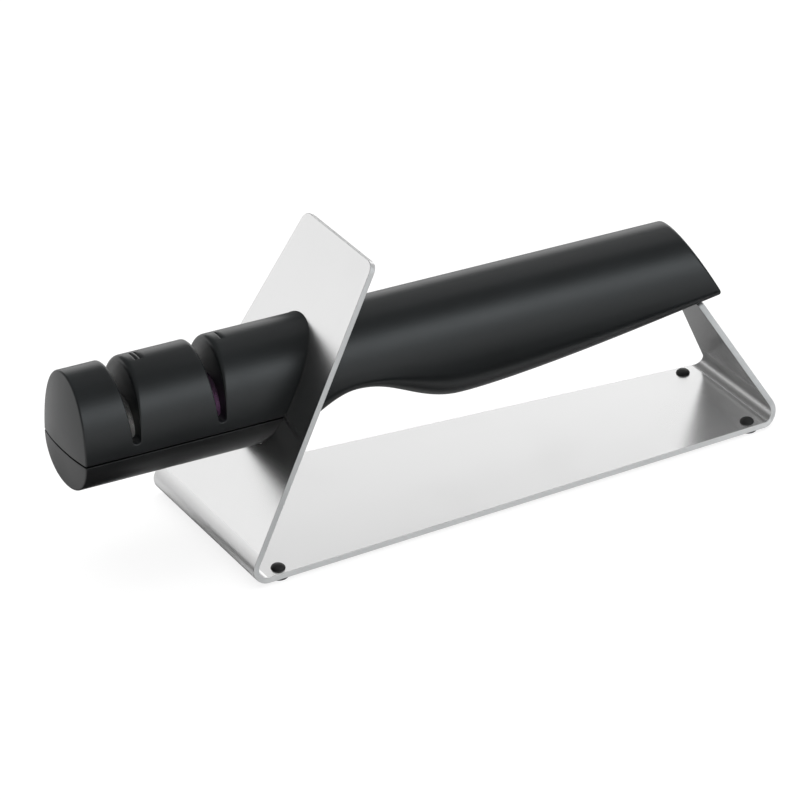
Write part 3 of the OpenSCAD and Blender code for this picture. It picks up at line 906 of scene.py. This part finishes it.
def ramp(tree, value, stops):
    """A colour for a value; stops are pairs of a place along the ramp and its colour."""
    added = node(tree, "ValToRGB", None, Fac=value)
    while len(added.color_ramp.elements) < len(stops):
        added.color_ramp.elements.new(0.5)
    for element, (at, colour) in zip(added.color_ramp.elements, stops):
        element.position = at
        element.color = (*colour, 1)
    return added.outputs[0]


def noise(tree, vector, scale, detail, roughness=0.5):
    return node(tree, "TexNoise", None, Vector=vector, Scale=scale, Detail=detail,
                Roughness=roughness).outputs["Fac"]


def bump(tree, height, depth_mm):
    """A normal that follows a height, for a relief of a depth."""
    return node(tree, "Bump", None, Height=height, Strength=1.0, Distance=depth_mm * 0.001).outputs[0]


def times(factor, colour):
    """A lighter or darker colour."""
    return tuple(min(1, factor * c) for c in colour)


# Materials
def material(name):
    """A new material with its node tree and its main shader."""
    made = bpy.data.materials.new(name)
    made.use_nodes = True
    tree = made.node_tree
    tree.nodes.clear()
    shader = node(tree, "BsdfPrincipled")
    plug(tree, node(tree, "OutputMaterial"), Surface=shader.outputs[0])
    return made, tree, shader


def grained(name, tint, rough, grain, depth):
    """Metal with a fine stretched grain and faint cloudiness, without its roughness, which is returned."""
    made, tree, shader = material(name)
    lines = noise(tree, coords(tree, grain), 1.0, 4.0, 0.6)
    cloud = noise(tree, coords(tree), 0.03, 2.0)
    tone = maths(tree, "MULTIPLY_ADD", lines, 0.6, cloud)
    colour = ramp(tree, tone, [(0.35, times(0.93, tint)), (0.85, tint)])
    satin = change(tree, cloud, 0, 1, rough - 0.03, rough + 0.03)
    plug(tree, shader, Base_Color=colour, Normal=bump(tree, lines, depth))
    return made, tree, shader, satin


def metal(name, tint, rough, grain):
    """Plain metal of the small pieces."""
    made, tree, shader, satin = grained(name, tint, rough, grain, 0.004)
    plug(tree, shader, Metallic=1.0, Roughness=satin)
    return made


def brushed_steel():
    """The stand's steel: its gloss spreads across the grain, and its cut edges and bends are duller."""
    tint, rough, grain, depth = (0.65, 0.65, 0.65), 0.25, (0.02, 5.0, 0.02), 0.0008
    edge_rough, edge_metal = 0.45, 0.45
    bend_rough = 0.2
    made, tree, shader, satin = grained("brushed_steel", tint, rough, grain, depth)
    # A cut edge faces sideways
    sideways = maths(tree, "ABSOLUTE", axes(tree, "Normal")["Y"])
    edge = change(tree, sideways, 0.3, 0.8)
    # A bend lies above the base's top and below the flat plate or leg
    height = axes(tree, "Object")["Z"]
    above_base = change(tree, height, 0.00305, 0.0034)
    bend = product(tree, above_base, change(tree, height, 0.008, 0.012, bend_rough, 0.0))
    across = node(tree, "CombineXYZ", None, X=0.02, Y=1.0, Z=0.02).outputs[0]
    plug(tree, shader, Metallic=change(tree, edge, 0, 1, 1.0, edge_metal), Anisotropic=0.65, Tangent=across,
         Roughness=maths(tree, "ADD", mix(tree, edge, satin, edge_rough), bend))
    return made


def plastic(name, tint, rough, texture=0.35, depth=0.012, level=0.4):
    """Moulded plastic with a fine spark-eroded texture and slightly uneven gloss."""
    made, tree, shader = material(name)
    fine = noise(tree, coords(tree), 1 / texture, 3.0, 0.55)
    cloud = noise(tree, coords(tree), 0.06, 3.0)
    plug(tree, shader, Base_Color=ramp(tree, cloud, [(0.3, tint), (0.75, times(1.35, tint))]),
         Roughness=change(tree, cloud, 0, 1, rough - 0.04, rough + 0.05), Specular_IOR_Level=level,
         Normal=bump(tree, fine, depth))
    return made


def abrasive(name, tint, dark, grit):
    """Bonded grit: separate grains of slightly different colour, standing proud."""
    made, tree, shader = material(name)
    cells = node(tree, "TexVoronoi", None, Vector=coords(tree), Scale=1 / grit).outputs["Distance"]
    grains = maths(tree, "MULTIPLY_ADD", cells, -0.6, noise(tree, coords(tree), 2.2 / grit, 4.0, 0.65))
    # Painted shade: darker towards the top, where the slot's walls shade the wheel
    painted_slot_shade = change(tree, axes(tree, "Object")["Z"], 0.0535, 0.060, 0.05, -0.5)
    colour = ramp(tree, maths(tree, "ADD", grains, painted_slot_shade),
                  [(0.0, times(0.12, tint)), (0.08, dark), (0.28, tint), (0.6, times(1.25, tint))])
    plug(tree, shader, Base_Color=colour, Roughness=0.85, Normal=bump(tree, grains, 0.09))
    return made


MATERIALS = {
    "steel": brushed_steel(),
    "screw_steel": metal("screw_steel", (0.55, 0.55, 0.56), 0.32, (3.0, 3.0, 3.0)),
    "axle_steel": metal("axle_steel", (0.66, 0.66, 0.67), 0.22, (4.0, 0.3, 0.3)),
    "hub_brass": metal("hub_brass", (0.68, 0.52, 0.25), 0.28, (4.0, 0.3, 0.3)),
    "grip_plastic": plastic("grip_plastic", (0.0050, 0.0062, 0.0068), 0.36, level=0.5),
    "cover_plastic": plastic("cover_plastic", (0.0058, 0.0060, 0.0063), 0.38, level=0.5),
    "carrier_plastic": plastic("carrier_plastic", (0.022, 0.022, 0.024), 0.5),
    "foot_rubber": plastic("foot_rubber", (0.012, 0.012, 0.012), 0.55, texture=0.2, depth=0.02),
    "coarse_abrasive": abrasive("coarse_abrasive", (0.62, 0.34, 0.62), (0.30, 0.16, 0.28), 0.22),
    "fine_abrasive": abrasive("fine_abrasive", (0.84, 0.83, 0.82), (0.55, 0.54, 0.53), 0.12),
}
NODE_SLOTS = {"cover_screws": "screw_steel", "carrier_screws": "screw_steel", "screw_plugs": "cover_plastic"}
for end in ("front", "back"):
    for hand in ("left", "right"):
        NODE_SLOTS[f"foot_{end}_{hand}"] = "foot_rubber"
for stage in ("coarse", "fine"):
    NODE_SLOTS[f"{stage}_carrier"] = "carrier_plastic"
    NODE_SLOTS[f"{stage}_axle"] = "axle_steel"
    NODE_SLOTS[f"{stage}_hub"] = "hub_brass"
    NODE_SLOTS[f"{stage}_washers"] = "axle_steel"
    NODE_SLOTS[f"{stage}_wheel_left"] = f"{stage}_abrasive"
    NODE_SLOTS[f"{stage}_wheel_right"] = f"{stage}_abrasive"
for name, slot in NODE_SLOTS.items():
    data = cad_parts[name].data
    data.materials.clear()
    data.materials.append(MATERIALS[slot])

for name, make, slot, body, cad in (
    ("stand_sheet", stand_shell, "steel", "stand", "stand"),
    ("wand_shell", handle_shell, "grip_plastic", "wand", "handle"),
    ("wand_cover", cover_shell, "cover_plastic", "wand", "head_cover"),
):
    piece = make().build(name, MATERIALS[slot])
    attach(piece, body)
    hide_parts(cad)

# Camera: turned from the front towards the tip, tilted down and rolled a little, at a distance in metres
CAMERA_TURN = math.radians(28.878)
CAMERA_TILT = math.radians(27.687)
CAMERA_ROLL = math.radians(0.109)
CAMERA_DISTANCE = 1.6059
aim = Vector(place((76.12, 0, 32.84)))
camera_data = bpy.data.cameras.new("camera")
camera_data.sensor_width = 36.0
camera_data.lens = 222.263
camera = bpy.data.objects.new("camera", camera_data)
bpy.context.scene.collection.objects.link(camera)
camera.matrix_world = (Matrix.Translation(aim) @ Matrix.Rotation(-CAMERA_TURN, 4, "Z")
                       @ Matrix.Rotation(math.pi / 2 - CAMERA_TILT, 4, "X")
                       @ Matrix.Rotation(-CAMERA_ROLL, 4, "Z") @ Matrix.Translation((0, 0, CAMERA_DISTANCE)))
bpy.context.scene.camera = camera

# Floor: white to the camera. In the steel's reflections its colour is painted: painted shade near the object,
# pale further away
bpy.context.scene.view_settings.view_transform = "Standard"
# Tone of the painted shade near the object, seen only in reflections
NEAR_PAINTED_SHADE = 0.03
DIFFUSE_TONE = 0.8
CAMERA_TONE = 0.2
CAMERA_GLOW = 0.85
made, tree, shader = material("studio_floor")
path = node(tree, "LightPath").outputs
where = axes(tree, "Object")
far_back = ease(tree, where["Y"], 0.5, 1.0, NEAR_PAINTED_SHADE, 0.95)
far_left = ease(tree, where["X"], -0.12, -0.17, NEAR_PAINTED_SHADE, 0.9)
far_front = ease(tree, where["Y"], -0.15, -0.23, 0.0, 0.95)
behind = change(tree, where["Y"], 0.0, 0.04, 0.0, 0.25)
# A painted pale strip, seen only in reflections, along the base's front edge, which is slanted
along = maths(tree, "MULTIPLY_ADD", where["X"], -0.062, where["Y"])
front_strip = product(tree, ease(tree, along, -0.046, -0.038),
                      change(tree, along, -0.030, -0.028, 1.0, 0.0),
                      change(tree, where["X"], -0.084, -0.076))
# A painted pale strip, seen only in reflections, beside the plate, which widens towards the back
wider = maths(tree, "MULTIPLY_ADD", maths(tree, "MAXIMUM", where["Y"], 0.0), 0.5, where["X"])
side_strip = product(tree, ease(tree, wider, -0.094, -0.088),
                     change(tree, where["X"], -0.079, -0.078, 1.0, 0.0),
                     change(tree, where["Y"], -0.040, -0.036))
# Painted reflection tone for glossy rays: painted shade near the object, pale further out and in the strips
painted_reflection_tone = largest(tree, far_back, far_left, front_strip, side_strip, far_front, behind)
tone = mix(tree, path["Is Glossy Ray"], DIFFUSE_TONE, painted_reflection_tone)
tone = mix(tree, path["Is Camera Ray"], tone, CAMERA_TONE)
plug(tree, shader, Base_Color=tone, Roughness=0.9, Specular_IOR_Level=0.1, Emission_Color=(1, 1, 1, 1),
     Emission_Strength=product(tree, path["Is Camera Ray"], CAMERA_GLOW))
bpy.ops.mesh.primitive_plane_add(size=6.0, location=(0, 0, 0))
floor = bpy.context.object
floor.name = "floor"
floor.data.materials.append(made)

# World: white to the camera. To the object it is a dim room, with a pale sweep at the back up to a line that
# climbs to the right.
world = bpy.data.worlds.new("studio")
bpy.context.scene.world = world
world.use_nodes = True
tree = world.node_tree
tree.nodes.clear()
path = node(tree, "LightPath").outputs
way = axes(tree, "Generated")
top_line = ease(tree, way["X"], 0.0, 0.38, 0.16, 0.42)
below_line = ease(tree, maths(tree, "SUBTRACT", way["Z"], top_line), 0.0, 0.16, 1.0, 0.0)
in_sweep = product(tree, ease(tree, way["Y"], 0.05, 0.55), below_line)
sweep = ease(tree, way["Z"], 0.15, 0.4, 1.42, 2.22)
room = ease(tree, way["Z"], 0.1, 0.7, 0.16, 0.25)
seen = largest(tree, path["Is Camera Ray"], path["Is Transmission Ray"])
level = mix(tree, seen, mix(tree, in_sweep, room, sweep), 1.0)
background = node(tree, "Background", None, Color=(1, 1, 1, 1), Strength=level)
node(tree, "OutputWorld", None, Surface=background.outputs[0])


def lamp(name, at, aim, size, power, gloss=True, tint=(1, 1, 1)):
    """A soft rectangular lamp that the camera doesn't see."""
    data = bpy.data.lights.new(name, "AREA")
    data.shape = "RECTANGLE"
    data.size, data.size_y = size
    data.energy = power
    data.color = tint
    obj = bpy.data.objects.new(name, data)
    bpy.context.scene.collection.objects.link(obj)
    obj.location = at
    obj.rotation_euler = (Vector(aim) - Vector(at)).to_track_quat("-Z", "Y").to_euler()
    obj.visible_camera = False
    obj.visible_glossy = gloss


lamp("front", (0.62, -1.2, 0.40), (0.0, 0, 0.05), (1.2, 0.4), 4.9, tint=(0.91, 0.97, 1.0))
lamp("overhead", (0.38, 0.09, 0.62), (0.38, 0.09, 0.0), (0.34, 0.6), 0.45)
lamp("top", (0.0, 0.1, 1.6), (0.0, 0, 0.0), (2.2, 1.8), 28, gloss=False)
